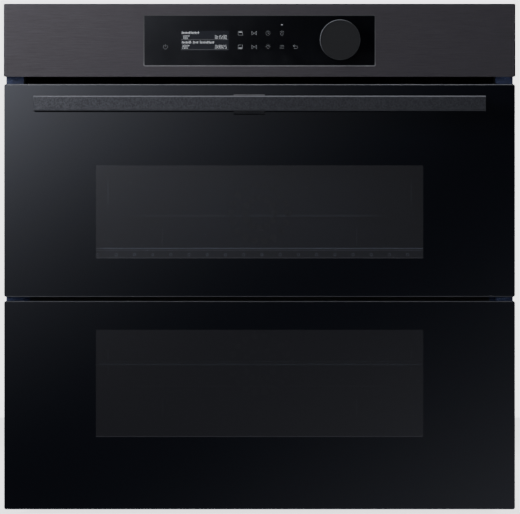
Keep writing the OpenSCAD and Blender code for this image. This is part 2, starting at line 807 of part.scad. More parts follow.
// Folded rail inside the upper door with a row of air holes.
module upper_vent_rail() {
    z0 = split_z + sheet;
    z1 = up_z + upper_window_up + 12;
    color("silver") placed() difference() {
        union() {
            span([-215, -8, z0], [215, -7, z1]);
            span([-215, -8, z1 - 1], [215, 8, z1]);
            span([-215, -8, z0], [215, 8, z0 + 1]);
        }
        for (i = [-9:8]) bar_y(1.2, (i + 0.13) * rail_pitch, -9, -6, z1 - 7.8);
    }
}

// Hollow handle bar with closed ends and a slot at the back for the lever's cable.
module handle_bar() {
    y = (bar_front + bar_back) / 2;
    color("gray") placed() difference() {
        translate([-handle_l / 2, y, handle_z]) rotate([90, 0, 90]) linear_extrude(handle_l)
            round_rect(handle_d, handle_h, 1.5);
        span([-handle_l / 2 + 3, bar_front + 2, handle_z - 6],
            [handle_l / 2 - 3, bar_back - 2, handle_z + 6]);
        span([lever_x - 6, bar_back - 3, handle_z - 5], [lever_x + 6, bar_back + 1, handle_z + 3]);
        both_sides() for (x = [-15, 15]) bar_y(2.5, post_x + x, bar_back - 3, bar_back + 1, handle_z);
    }
}

module handle_posts() {
    color("gray") placed() both_sides() {
        difference() {
            translate([post_x, 0, handle_z]) rotate([90, 0, 0]) linear_extrude(-bar_back)
                round_rect(post_w, 15, 2);
            span([post_x - 40, -front_out, handle_z - 20], [post_x + 40, 1, handle_z + 20]);
            span([post_x - 8, bar_back - 1, handle_z - 4], [post_x + 8, -front_out + 1, handle_z + 4]);
        }
        for (x = [-15, 15]) bar_y(2.45, post_x + x, bar_back - 2, rim_back - sheet - 0.1, handle_z);
        for (x = [-15, 15]) bar_y(5, post_x + x, glass_back, glass_back + 4, handle_z);
    }
}

// Finger lever behind the bar that frees the upper door from the lower one.
module release_lever() {
    x0 = lever_x - lever_l / 2;
    x1 = lever_x + lever_l / 2;
    color("gray") placed() difference() {
        union() {
            bar_x(3.2, x0 + 3, x1 - 3, lever_axis_y, lever_axis_z);
            span([x0, lever_axis_y + 4, handle_z - 12.3], [x1, lever_axis_y + 6.5, handle_z + 11]);
            span([x0 + 3, lever_axis_y, lever_axis_z - 2], [x1 - 3, lever_axis_y + 5, lever_axis_z + 2]);
            span([lever_x - 4, lever_axis_y - 1.5, handle_z - 4], [lever_x + 4, lever_axis_y + 5, handle_z]);
        }
        bar_x(1.55, x0 - 1, x1 + 1, lever_axis_y, lever_axis_z);
    }
}

module lever_pin() {
    x0 = lever_x - lever_l / 2;
    x1 = lever_x + lever_l / 2;
    color("silver") placed() {
        bar_x(1.5, x0, x1, lever_axis_y, lever_axis_z);
        for (x = [x0, x1 - 1.5]) {
            bar_x(3.5, x, x + 1.5, lever_axis_y, lever_axis_z);
            span([x, bar_back, lever_axis_z - 3.5], [x + 1.5, lever_axis_y, lever_axis_z + 3.5]);
        }
    }
}

// Hooks at the split that the lever lifts out of the lower door's rib.
module latch_hooks() {
    color("silver") placed() both_sides() {
        span([hook_x - 2, 6, split_z - 9], [hook_x + 2, 11, split_z + 50]);
        span([hook_x - 2, 4.6, split_z - 9], [hook_x + 2, 6, split_z - 5]);
        span([hook_x - 2, -4, split_z + 40], [hook_x + 2, 6, split_z + 50]);
    }
}

base_pan();
base_runners();
side_panel_left();
side_panel_right();
rear_panel();
top_cover();
front_frame();
cavity_liner();
insulation_wrap();
door_gasket();
side_racks();
wire_shelf();
baking_tray();
divider_plate();
fan_cover_upper();
fan_cover_lower();
ring_element_upper();
ring_element_lower();
fan_motor_upper();
fan_motor_lower();
grill_element();
floor_element();
lamp_holder();
lamp_lens();
temperature_probe();
air_duct();
blower_casing();
blower_motor();
fascia();
fascia_carrier();
display_trim();
display_glass();
display_board();
encoder_body();
power_board();
terminal_box();
cable_gland();
body_hinges();
case_screws();
fan_wheel_upper();
fan_wheel_lower();
blower_drum();
encoder_plunger();
dial_knob();
lower_glass();
lower_chassis();
lower_inner_glass();
lower_hinge_blocks();
split_brackets();
split_seal();
upper_glass();
upper_chassis();
upper_inner_glass();
upper_hinge_blocks();
upper_vent_rail();
handle_bar();
handle_posts();
release_lever();
lever_pin();
latch_hooks();
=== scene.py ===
import json
import math

import bmesh
import bpy
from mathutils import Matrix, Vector


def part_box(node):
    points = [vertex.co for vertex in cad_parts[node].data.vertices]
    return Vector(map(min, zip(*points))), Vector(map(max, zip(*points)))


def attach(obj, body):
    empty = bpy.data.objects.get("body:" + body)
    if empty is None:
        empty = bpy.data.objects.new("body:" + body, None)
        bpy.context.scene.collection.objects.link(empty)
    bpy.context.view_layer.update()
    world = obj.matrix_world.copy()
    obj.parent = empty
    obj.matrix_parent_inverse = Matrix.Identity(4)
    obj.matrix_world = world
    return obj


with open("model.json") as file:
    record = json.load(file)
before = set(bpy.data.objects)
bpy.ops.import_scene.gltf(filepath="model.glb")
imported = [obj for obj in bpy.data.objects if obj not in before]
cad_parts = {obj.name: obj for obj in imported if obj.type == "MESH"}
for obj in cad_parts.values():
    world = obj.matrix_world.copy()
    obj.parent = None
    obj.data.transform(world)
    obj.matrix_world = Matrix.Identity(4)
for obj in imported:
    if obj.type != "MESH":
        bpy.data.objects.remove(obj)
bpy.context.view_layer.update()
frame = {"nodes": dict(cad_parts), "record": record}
NODES = frame["nodes"]


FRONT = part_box("upper_glass")[0][1]
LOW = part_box("lower_glass")
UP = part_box("upper_glass")
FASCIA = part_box("fascia")
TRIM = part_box("display_trim")
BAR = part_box("handle_bar")
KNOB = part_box("dial_knob")
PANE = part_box("display_glass")
MM = 0.001
# The clear windows: half their width, then their foot and top.
WINDOW_HALF = 0.1902
UP_WINDOW = (UP[0][2] + 0.045, UP[0][2] + 0.153)
LOW_WINDOW = (LOW[0][2] + 0.0845, LOW[0][2] + 0.2089)
# The lit screen on the display glass: left, right, foot and top.
SCREEN = (-0.0912, -0.0356, TRIM[0][2] + 0.0185, TRIM[0][2] + 0.0414)

# ---------------------------------------------------------------- camera
camera = bpy.data.objects.new("Camera", bpy.data.cameras.new("Camera"))
bpy.context.scene.collection.objects.link(camera)
bpy.context.scene.camera = camera
# A long lens from far away, for an almost parallel view of a field this wide at the door glass.
DISTANCE = 12.0
FIELD = 0.6043
SENSOR = 36
EYE_X = 0.0005
EYE_Z = 0.2975
camera.location = (EYE_X, FRONT - DISTANCE, EYE_Z)
camera.rotation_euler = (math.radians(90), 0, 0)
camera.data.sensor_width = SENSOR
camera.data.lens = SENSOR * DISTANCE / FIELD
camera.data.clip_start, camera.data.clip_end = 0.05, 60


# ---------------------------------------------------------------- materials
def set_all(node, **values):
    for key, value in values.items():
        node.inputs[key.replace("_", " ")].default_value = value


class Maker:
    """A material with one Principled shader and short helpers for the nodes before it."""

    def __init__(self, name):
        self.material = bpy.data.materials.new(name)
        self.material.use_nodes = True
        self.tree = self.material.node_tree
        self.shader = self.tree.nodes["Principled BSDF"]
        self.out = self.tree.nodes["Material Output"]
        self.object = self.new("ShaderNodeTexCoord").outputs["Object"]

    def new(self, kind, **props):
        node = self.tree.nodes.new(kind)
        for key, value in props.items():
            setattr(node, key, value)
        return node

    def put(self, socket, target):
        if isinstance(socket, (int, float, tuple)):
            target.default_value = socket
        else:
            self.tree.links.new(socket, target)

    def math(self, kind, a, b=0.0, c=0.0):
        node = self.new("ShaderNodeMath", operation=kind)
        for i, value in enumerate((a, b, c)):
            self.put(value, node.inputs[i])
        return node.outputs[0]

    def add(self, a, b):
        return self.math("ADD", a, b)

    def times(self, a, b):
        return self.math("MULTIPLY", a, b)

    def larger(self, a, b):
        return self.math("MAXIMUM", a, b)

    def smaller(self, a, b):
        return self.math("MINIMUM", a, b)

    def less(self, a, b):
        return self.math("SUBTRACT", a, b)

    def away(self, a, b):
        """Distance from a centre, from the two offsets."""
        return self.math("SQRT", self.add(self.times(a, a), self.times(b, b)))

    def stretched(self, x, y, z):
        node = self.new("ShaderNodeMapping")
        self.put(self.object, node.inputs["Vector"])
        node.inputs["Scale"].default_value = (x, y, z)
        return node.outputs[0]

    def noise(self, scale, detail=4.0, rough=0.55, vector=None):
        node = self.new("ShaderNodeTexNoise")
        self.put(self.object if vector is None else vector, node.inputs["Vector"])
        set_all(node, Scale=scale, Detail=detail, Roughness=rough)
        return node.outputs["Fac"]

    def ramp(self, fac, stops):
        node = self.new("ShaderNodeValToRGB")
        self.put(fac, node.inputs["Fac"])
        points = node.color_ramp.elements
        while len(points) < len(stops):
            points.new(0.5)
        for point, (at, colour) in zip(points, stops):
            point.position = at
            point.color = (*colour, 1)
        return node.outputs["Color"]

    def span(self, value, low, high, a=0.0, b=1.0):
        node = self.new("ShaderNodeMapRange")
        for i, v in enumerate((value, low, high, a, b)):
            self.put(v, node.inputs[i])
        return node.outputs[0]

    def mix(self, fac, a, b):
        node = self.new("ShaderNodeMix", data_type="RGBA")
        self.put(fac, node.inputs[0])
        for value, target in ((a, node.inputs[6]), (b, node.inputs[7])):
            self.put((*value, 1) if isinstance(value, tuple) else value, target)
        return node.outputs[2]

    def parts(self, vector=None):
        node = self.new("ShaderNodeSeparateXYZ")
        self.put(self.object if vector is None else vector, node.inputs[0])
        return node.outputs

    def bump(self, height, strength, distance):
        node = self.new("ShaderNodeBump")
        set_all(node, Strength=strength, Distance=distance)
        self.put(height, node.inputs["Height"])
        self.put(node.outputs[0], self.shader.inputs["Normal"])

    def feed(self, name, value):
        self.put(value, self.shader.inputs[name])

    def edge(self, value, low, high, soft):
        """1 between low and high, with soft ends."""
        up = self.span(value, low - soft, low + soft)
        down = self.span(value, high - soft, high + soft, 1.0, 0.0)
        return self.times(up, down)

    def emit(self, colour, strength):
        self.shader.inputs["Emission Color"].default_value = (*colour, 1)
        self.feed("Emission Strength", strength)

    def blend(self, fac, first, second):
        """A mix of two shaders, by a number or by a value."""
        node = self.new("ShaderNodeMixShader")
        self.put(fac, node.inputs[0])
        self.tree.links.new(first.outputs[0], node.inputs[1])
        self.tree.links.new(second.outputs[0], node.inputs[2])
        return node

    def surface(self, shader):
        """Use this shader for the surface, and give back the material."""
        self.tree.links.new(shader.outputs[0], self.out.inputs["Surface"])
        return self.material


def grey(value):
    return (value, value, value)


def lit(colour, gain):
    """A colour made lighter or darker by a factor."""
    return tuple(gain * v for v in colour)


def metal(name, dark, light, rough, grain_scale, bump):
    """Plain metal sheet or wire, with a fine grain over wide soft patches."""
    m = Maker(name)
    grain = m.noise(grain_scale, 3.0, 0.6)
    wide = m.noise(9.0, 3.0)
    both = m.math("MULTIPLY_ADD", grain, 0.75, m.times(wide, 0.25))
    m.feed("Base Color", m.ramp(both, [(0.3, dark), (0.7, light)]))
    m.feed("Roughness", m.span(both, 0.25, 0.75, rough + 0.07, rough - 0.05))
    m.feed("Metallic", 1.0)
    m.bump(grain, bump * 10, 0.00005)
    return m.material


def plastic(name, dark, light, rough, scale=1400.0, bump=0.12, shine=0.5):
    """Moulded plastic, paint, rubber or ceramic with a fine even skin."""
    m = Maker(name)
    fine = m.noise(scale, 4.0, 0.6)
    wide = m.noise(14.0, 3.0)
    m.feed("Base Color", m.ramp(wide, [(0.3, dark), (0.7, light)]))
    m.feed("Roughness", m.span(fine, 0.3, 0.7, rough - 0.06, rough + 0.08))
    m.feed("Specular IOR Level", shine)
    m.bump(fine, bump, 0.0001)
    return m.material


def enamel(name):
    """Dark blue vitreous enamel with fine pale speckles and a soft wave."""
    m = Maker(name)
    dots = m.new("ShaderNodeTexVoronoi", feature="F1")
    m.put(m.object, dots.inputs["Vector"])
    set_all(dots, Scale=520.0, Randomness=1.0)
    speck = m.span(dots.outputs["Distance"], 0.16, 0.3, 1.0, 0.0)
    patch = m.span(m.noise(190.0, 3.0), 0.45, 0.62)
    pale_speck = m.times(speck, m.times(patch, 0.5))
    base = m.ramp(m.noise(240.0, 5.0, 0.7), [(0.32, (0.007, 0.01, 0.03)), (0.68, (0.022, 0.03, 0.08))])
    m.feed("Base Color", m.mix(pale_speck, base, (0.2, 0.25, 0.42)))
    m.feed("Roughness", m.span(m.noise(160.0, 3.0), 0.3, 0.7, 0.4, 0.55))
    m.feed("Specular IOR Level", 0.35)
    m.bump(m.noise(140.0, 3.0), 0.25, 0.0003)
    return m.material


def wool(name):
    """Pale yellow mineral wool with matted fibres."""
    m = Maker(name)
    fibre = m.noise(420.0, 8.0, 0.75, m.stretched(1, 1, 3))
    m.feed("Base Color", m.ramp(fibre, [(0.3, (0.42, 0.34, 0.16)), (0.7, (0.83, 0.76, 0.52))]))
    m.feed("Roughness", m.span(fibre, 0.3, 0.7, 0.8, 1.0))
    m.bump(fibre, 0.9, 0.002)
    return m.material


def board(name):
    """Green circuit board with paler tracks in square cells."""
    m = Maker(name)
    cells = m.new("ShaderNodeTexVoronoi", feature="DISTANCE_TO_EDGE", distance="CHEBYCHEV")
    m.put(m.object, cells.inputs["Vector"])
    set_all(cells, Scale=120.0)
    track = m.span(cells.outputs["Distance"], 0.02, 0.05, 1.0, 0.0)
    base = m.ramp(m.noise(60.0), [(0.3, (0.01, 0.09, 0.03)), (0.7, (0.02, 0.15, 0.05))])
    m.feed("Base Color", m.mix(track, base, (0.05, 0.26, 0.1)))
    m.feed("Roughness", m.span(m.noise(300.0), 0.3, 0.7, 0.25, 0.45))
    m.bump(track, 0.2, 0.0002)
    return m.material


def door_glass(name, box, window, haze, top_shine, foot_shine):
    """Black printed glass with painted highlight bands near the top and the foot, and a clear, tinted
    window between two heights.
    """
    m = Maker(name)
    x, y, z = m.parts()
    low, high = box[0][2], box[1][2]
    soft = 0.0004
    across = m.edge(x, -WINDOW_HALF, WINDOW_HALF, soft)
    inside = m.times(across, m.edge(z, window[0], window[1], soft))
    ripple = m.noise(2.2, 2.0)
    base = m.ramp(ripple, [(0.35, (0.0012, 0.0016, 0.003)), (0.65, (0.0016, 0.002, 0.0036))])
    # Painted highlights: thin bands just inside the top and the foot, where the edges would catch the
    # light.
    top_highlight = m.times(m.edge(z, high - 0.0012, high - 0.0003, 0.0001), top_shine)
    foot_highlight = m.times(m.edge(z, low + 0.0003, low + 0.0011, 0.0001), foot_shine)
    edge_highlight = m.larger(top_highlight, foot_highlight)
    m.feed("Base Color", m.mix(edge_highlight, base, (0.17, 0.175, 0.19)))
    polish = m.span(m.noise(35.0, 4.0), 0.3, 0.7, 0.02, 0.035)
    m.feed("Roughness", m.math("MULTIPLY_ADD", edge_highlight, 0.35, polish))
    m.feed("IOR", 1.5)
    m.bump(ripple, 0.02, 0.001)
    clear = m.new("ShaderNodeBsdfTransparent")
    clear.inputs["Color"].default_value = (0.72, 0.74, 0.78, 1)
    film = m.new("ShaderNodeBsdfPrincipled")
    # The window's foot ends in a paler line.
    rim = m.span(z, window[0] + 0.0004, window[0] + 0.0012, 1.0, 0.0)
    m.put(m.mix(rim, haze, lit(haze, 2.6)), film.inputs["Base Color"])
    set_all(film, Roughness=0.03, IOR=1.74)
    # The film is on the front face only.
    share = m.span(y, box[0][1] + 0.0015, box[0][1] + 0.0025, 0.55, 0.0)
    return m.surface(m.blend(inside, m.shader, m.blend(share, clear, film)))


def clear_glass(name, tint, share):
    """Clear glass, with a share of tinted gloss over it."""
    m = Maker(name)
    m.feed("Base Color", m.ramp(m.noise(12.0), [(0.3, tint), (0.7, lit(tint, 1.08))]))
    m.feed("Roughness", m.span(m.noise(30.0), 0.3, 0.7, 0.02, 0.05))
    clear = m.new("ShaderNodeBsdfTransparent")
    clear.inputs["Color"].default_value = (0.9, 0.93, 0.92, 1)
    return m.surface(m.blend(share, clear, m.shader))


def black_glass(name):
    """Display glass, with the part over the screen a little lighter."""
    m = Maker(name)
    x, _, z = m.parts()
    left, right, foot, top = SCREEN
    screen = m.times(m.edge(x, left, right, 0.0004), m.edge(z, foot, top, 0.0004))
    base = m.ramp(m.noise(3.0, 2.0), [(0.35, (0.0008, 0.001, 0.0016)), (0.65, (0.0012, 0.0014, 0.0021))])
    m.feed("Base Color", m.mix(screen, base, (0.009, 0.01, 0.0135)))
    m.feed("Roughness", m.span(m.noise(40.0), 0.3, 0.7, 0.03, 0.06))
    m.feed("IOR", 1.5)
    return m.material


def glow(name, colour, strength):
    """Printed or lit marks: a pale ink that gives off a little light."""
    m = Maker(name)
    m.feed("Base Color", m.ramp(m.noise(500.0), [(0.3, lit(colour, 0.9)), (0.7, colour)]))
    m.feed("Roughness", m.span(m.noise(300.0), 0.3, 0.7, 0.4, 0.55))
    m.emit(colour, strength)
    return m.material


def fascia_metal(name):
    """Dark graphite steel, brushed along the width, with painted shade that darkens it towards the right.
    """
    m = Maker(name)
    lines = m.noise(30.0, 6.0, 0.7, m.stretched(1.2, 60, 90))
    fine = m.noise(60.0, 3.0, 0.7, m.stretched(2.5, 60, 120))
    both = m.math("MULTIPLY_ADD", lines, 0.6, m.times(fine, 0.4))
    x = m.parts()[0]
    # Painted light: a lighter copy of the brushed tones at the left fades into a shaded copy towards the
    # right.
    lit_left_tone = m.ramp(both, [(0.36, (0.046, 0.0425, 0.047)), (0.64, (0.078, 0.072, 0.08))])
    shaded_right_tone = m.ramp(both, [(0.36, (0.039, 0.036, 0.0398)), (0.64, (0.066, 0.061, 0.068))])
    left = FASCIA[0][0]
    m.feed("Base Color", m.mix(m.span(x, left + 0.2, left + 0.45), lit_left_tone, shaded_right_tone))
    m.feed("Roughness", m.span(both, 0.3, 0.7, 0.4, 0.33))
    m.feed("Metallic", 0.92)
    m.feed("Anisotropic", 0.5)
    m.bump(both, 0.15, 0.0001)
    return m.material


def grained_metal(name, dark, light, rough, box=None, painted_foot_gain=2.5):
    """Fine even grain, as on bead-blasted dark metal.

    With a box, the top edge has a painted highlight, the foot a painted line of its own gain, and
    painted light takes the tone from lighter to darker over the first part of the length.
    """
    m = Maker(name)
    grain = m.noise(620.0, 1.0, 0.5)
    fine = m.noise(2400.0, 2.0, 0.6)
    both = m.math("MULTIPLY_ADD", grain, 0.7, m.times(fine, 0.3))

    def tone(gain):
        return m.ramp(both, [(0.38, lit(dark, gain)), (0.62, lit(light, gain))])

    if box:
        x, _, z = m.parts()
        (left, _, foot_z), (_, _, top_z) = box
        # Painted light: a lit copy of the tone at the left fades into a shaded copy over the first 0.3 m.
        colour = m.mix(m.span(x, left, left + 0.3), tone(1.32), tone(0.8))
        # Painted highlight along the top edge, and a painted line at the foot: a highlight on the bar,
        # painted shade on the lever.
        foot = m.span(z, foot_z + 0.0005, foot_z + 0.0009, 1.0, 0.0)
        top = m.edge(z, top_z - 0.0016, top_z - 0.0005, 0.0001)
        colour = m.mix(foot, colour, lit(light, painted_foot_gain))
        colour = m.mix(top, colour, lit(light, 2.6))
    else:
        colour = tone(1.0)
    m.feed("Base Color", colour)
    m.feed("Roughness", m.span(grain, 0.3, 0.7, rough - 0.03, rough + 0.03))
    m.feed("Metallic", 0.9)
    m.bump(fine, 0.12, 0.0001)
    return m.material


def dial_face(name):
    """Satin black dial with a painted highlight on its thin rim, strongest at the upper left."""
    m = Maker(name)
    x, _, z = m.parts()
    (left, _, foot), (right, _, top) = KNOB
    r = (right - left) / 2
    dx = m.less(x, (left + right) / 2)
    dz = m.less(z, (foot + top) / 2)
    rim = m.span(m.away(dx, dz), r - 0.001, r - 0.0006)
    # Painted highlight: the rim is brightest at the upper left, towards the key light, and fades round to
    # the lower right.
    rim = m.times(rim, m.span(m.less(dz, dx), 0.1 * r, 1.3 * r, 0.12, 1.0))
    fine = m.noise(1100.0, 4.0, 0.6)
    face = m.ramp(m.noise(14.0, 3.0), [(0.3, (0.0034, 0.0037, 0.005)), (0.7, (0.0044, 0.0048, 0.0062))])
    m.feed("Base Color", m.mix(rim, face, (0.11, 0.115, 0.13)))
    m.feed("Roughness", m.math("MULTIPLY_ADD", rim, -0.3, m.span(fine, 0.3, 0.7, 0.58, 0.68)))
    m.feed("Specular IOR Level", 0.3)
    m.bump(fine, 0.06, 0.0001)
    return m.material


def trim_frame(name):
    """Satin frame line round the display, lighter at the foot, with a black inner step."""
    m = Maker(name)
    x, _, z = m.parts()
    (left, _, foot), (right, _, top) = TRIM
    across = m.smaller(m.less(x, left), m.less(right, x))
    upward = m.smaller(m.less(z, foot), m.less(top, z))
    line = m.span(m.smaller(across, upward), 0.0012, 0.0014, 1.0, 0.0)
    fine = m.noise(600.0, 3.0)
    tones = [(0.02, (0.2, 0.2, 0.205)), (0.1, (0.12, 0.12, 0.124)), (0.95, (0.07, 0.07, 0.073))]
    satin = m.ramp(m.span(z, foot, top), tones)
    m.feed("Base Color", m.mix(line, (0.003, 0.003, 0.0035), satin))
    m.feed("Roughness", m.span(fine, 0.3, 0.7, 0.32, 0.42))
    m.feed("Metallic", m.times(line, 0.9))
    m.bump(fine, 0.05, 0.00005)
    return m.material


def vent_rail(name):
    """Dark rail behind the window, with painted highlights on its fold and crease and round the rims of
    its row of holes.
    """
    m = Maker(name)
    x, _, z = m.parts()
    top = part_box("upper_vent_rail")[1][2]
    pitch = 0.0212
    # Where one hole stands within a pitch, in pitches from the middle of the rail.
    phase = 0.13
    fold_highlight = m.span(z, top - 0.001, top - 0.0007)
    crease_highlight = m.edge(z, top - 0.0031, top - 0.0023, 0.0002)
    hole_drop = 0.0078
    hole_r = 0.0015
    # A whole number of pitches and a half keep the count positive over the rail.
    step = m.add(m.math("DIVIDE", x, pitch), 20.5 - phase)
    dx = m.times(m.less(m.math("FRACT", step), 0.5), pitch)
    dz = m.less(z, top - hole_drop)
    rim = m.span(m.away(dx, dz), hole_r, hole_r + 0.0003, 1.0, 0.0)
    # Painted highlights: the fold, the crease and the hole rims are lighter, and they glow faintly as
    # painted light.
    rail_highlights = m.larger(m.larger(m.times(fold_highlight, 0.75), m.times(crease_highlight, 0.3)), rim)
    base = m.ramp(m.noise(80.0, 3.0), [(0.3, (0.02, 0.02, 0.022)), (0.7, (0.03, 0.03, 0.033))])
    m.feed("Base Color", m.mix(rail_highlights, base, (0.62, 0.64, 0.7)))
    m.emit((0.9, 0.92, 1.0), m.times(rail_highlights, 0.035))
    m.feed("Roughness", m.span(m.noise(200.0), 0.3, 0.7, 0.5, 0.65))
    return m.material


def cover_enamel(name, box):
    """Dark enamel of a fan cover, with pale painted highlights along its sides, its ridge and its pressed
    panel.
    """
    m = Maker(name)
    x, _, z = m.parts()
    low = box[0][2]
    half = (box[1][0] - box[0][0]) / 2
    out = m.math("ABSOLUTE", x)
    # Each line: how far out from the middle it shows, times how high over the foot.
    side_height = m.edge(z, low + 0.068, low + 0.093, 0.006)
    side = m.times(m.span(out, half - 0.0013, half - 0.0011), side_height)
    ridge_height = m.edge(z, low + 0.0508, low + 0.0533, 0.0003)
    ridge = m.times(m.span(out, 0.13, 0.16, 0.4, 0.0), ridge_height)
    panel_height = m.edge(z, low + 0.018, low + 0.036, 0.003)
    panel = m.times(m.edge(out, 0.1162, 0.1174, 0.0002), panel_height)
    # Painted highlights: pale lines along the sides, the ridge and the edge of the pressed panel.
    edge_highlights = m.larger(side, m.larger(ridge, m.times(panel, 0.6)))
    base = m.ramp(m.noise(240.0, 5.0, 0.7), [(0.32, (0.006, 0.008, 0.02)), (0.68, (0.016, 0.02, 0.05))])
    m.feed("Base Color", m.mix(edge_highlights, base, (0.34, 0.35, 0.4)))
    m.feed("Roughness", m.span(m.noise(160.0, 3.0), 0.3, 0.7, 0.45, 0.6))
    m.feed("Specular IOR Level", 0.3)
    m.bump(m.noise(140.0, 3.0), 0.25, 0.0003)
    return m.material


ENAMEL = enamel("navy_enamel")
WOOL = wool("glass_wool")
BOARD = board("circuit_board")
ZINC = metal("zinc_sheet", (0.42, 0.43, 0.44), (0.66, 0.67, 0.68), 0.38, 60.0, 0.01)
CAST = metal("cast_steel", (0.3, 0.3, 0.31), (0.5, 0.5, 0.51), 0.45, 600.0, 0.05)
CHROME = metal("plated_wire", (0.6, 0.6, 0.61), (0.78, 0.78, 0.79), 0.16, 400.0, 0.01)
HEATER = metal("heater_tube", (0.05, 0.045, 0.04), (0.13, 0.115, 0.1), 0.5, 500.0, 0.05)
FAN = metal("fan_sheet", (0.16, 0.155, 0.15), (0.24, 0.235, 0.23), 0.42, 300.0, 0.02)
FASCIA_METAL = fascia_metal("graphite_brushed")
HANDLE_DARK = (0.041, 0.0415, 0.046)
HANDLE_LIGHT = (0.07, 0.071, 0.079)
HANDLE_METAL = grained_metal("graphite_grain", HANDLE_DARK, HANDLE_LIGHT, 0.34, BAR)
POST_METAL = grained_metal("post_grain", HANDLE_DARK, HANDLE_LIGHT, 0.34)
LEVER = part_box("release_lever")
# The lever's foot gain of 0.25 paints a dark line of painted shade under the bar.
LEVER_METAL = grained_metal("lever_grain", (0.034, 0.034, 0.037), (0.052, 0.052, 0.056), 0.4, LEVER, 0.25)
TRIM_METAL = trim_frame("satin_trim")
PAINT_DARK = (0.0035, 0.0035, 0.004)
PAINT_LIGHT = (0.006, 0.006, 0.0065)
BLACK_STEEL = plastic("black_paint", PAINT_DARK, PAINT_LIGHT, 0.6, 700.0, 0.1, 0.25)
# Painted shade: a near-black matt finish that stands for the shade deep in the cooling slot.
SLOT_SHADE = plastic("slot_shade_black", (0.003, 0.003, 0.0032), (0.005, 0.005, 0.0053), 0.8, 700.0, 0.1, 0.1)
BLACK_PLASTIC = plastic("black_plastic", (0.012, 0.012, 0.013), (0.02, 0.02, 0.021), 0.5)
KNOB_FACE = dial_face("dial_black")
RAIL = vent_rail("rail_dark")
COVER_UP = cover_enamel("upper_cover_enamel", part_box("fan_cover_upper"))
COVER_LOW = cover_enamel("lower_cover_enamel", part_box("fan_cover_lower"))
WHITE_PLASTIC = plastic("white_plastic", (0.72, 0.72, 0.7), (0.82, 0.82, 0.8), 0.45)
RUBBER = plastic("seal_rubber", (0.003, 0.003, 0.003), (0.007, 0.007, 0.007), 0.85, 500.0, 0.4, 0.2)
CERAMIC = plastic("lamp_ceramic", (0.68, 0.65, 0.58), (0.8, 0.77, 0.7), 0.6, 300.0, 0.2)
INNER_GLASS = clear_glass("inner_glass", (0.02, 0.024, 0.024), 0.08)
LENS = clear_glass("lamp_glass", (0.5, 0.52, 0.52), 0.25)
# The last two numbers give the strength of the painted highlights at the top and at the foot.
UP_GLASS = door_glass("upper_black_glass", UP, UP_WINDOW, (0.0235, 0.0235, 0.027), 0.58, 0.17)
LOW_GLASS = door_glass("lower_black_glass", LOW, LOW_WINDOW, (0.018, 0.018, 0.0215), 0.24, 0.45)
PANE_GLASS = black_glass("display_black_glass")
INK = glow("grey_ink", (0.21, 0.22, 0.235), 0.28)
LIT = glow("white_digits", (0.66, 0.68, 0.71), 0.45)
RULE = glow("screen_rules", (0.025, 0.026, 0.029), 0.2)

# Each piece takes its own material, or the one of its slot in the record.
BY_SLOT = {
    "galvanised_steel": ZINC,
    "navy_enamel": ENAMEL,
    "mineral_wool": WOOL,
    "seal_rubber": RUBBER,
    "chrome_wire": CHROME,
    "heater_steel": HEATER,
    "fan_steel": FAN,
    "lamp_ceramic": CERAMIC,
    "clear_glass": INNER_GLASS,
    "graphite_metal": FASCIA_METAL,
    "handle_metal": HANDLE_METAL,
    "trim_metal": TRIM_METAL,
    "bright_steel": CHROME,
    "black_steel": BLACK_STEEL,
    "black_plastic": BLACK_PLASTIC,
    "board": BOARD,
    "white_plastic": WHITE_PLASTIC,
}
BY_NODE = {
    "upper_glass": UP_GLASS,
    "lower_glass": LOW_GLASS,
    "display_glass": PANE_GLASS,
    "dial_knob": KNOB_FACE,
    "release_lever": LEVER_METAL,
    "handle_posts": POST_METAL,
    "upper_vent_rail": RAIL,
    "fan_cover_upper": COVER_UP,
    "fan_cover_lower": COVER_LOW,
    # The duct, blower casing and blower drum take painted shade in place of their own finish.
    "air_duct": SLOT_SHADE,
    "blower_casing": SLOT_SHADE,
    "blower_drum": SLOT_SHADE,
    "lamp_lens": LENS,
    "body_hinges": CAST,
    "lower_hinge_blocks": CAST,
    "upper_hinge_blocks": CAST,
    "split_brackets": CAST,
    "fan_motor_upper": CAST,
    "fan_motor_lower": CAST,
    "blower_motor": CAST,
}
SLOT_OF = {s["node"]: s["material_slot"] for s in frame["record"]["subparts"]}


def dress(obj, material):
    obj.data.materials.clear()
    obj.data.materials.append(material)


for node_name, obj in NODES.items():
    dress(obj, BY_NODE.get(node_name) or BY_SLOT[SLOT_OF[node_name]])

# Small rounded edges in millimetres, which catch the light.
EDGES = {
    "upper_glass": 0.2,
    "lower_glass": 0.2,
    "fascia": 0.5,
    "handle_bar": 0.3,
    "release_lever": 0.3,
    "handle_posts": 0.4,
    "display_glass": 0.15,
    "front_frame": 0.3,
    "terminal_box": 0.4,
    "divider_plate": 0.3,
}
for node_name, width in EDGES.items():
    bevel = NODES[node_name].modifiers.new("edge", "BEVEL")
    bevel.width = width * MM
    bevel.segments = 2
    bevel.limit_method = "ANGLE"
    bevel.angle_limit = math.radians(50)
    bevel.harden_normals = False


# ---------------------------------------------------------------- marks on the display glass
def mesh_piece(name, build, material, body):
    """One piece of flat marks that rides on a body."""
    data = bpy.data.meshes.new(name)
    shape = bmesh.new()
    build(shape)
    bmesh.ops.recalc_face_normals(shape, faces=shape.faces)
    shape.to_mesh(data)
    shape.free()
    obj = bpy.data.objects.new(name, data)
    bpy.context.scene.collection.objects.link(obj)
    data.materials.append(material)
    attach(obj, body)


# Marks lie on the front of the glass and stand out by this much.
MARK_Y = PANE[0][1]
MARK_T = 0.00006


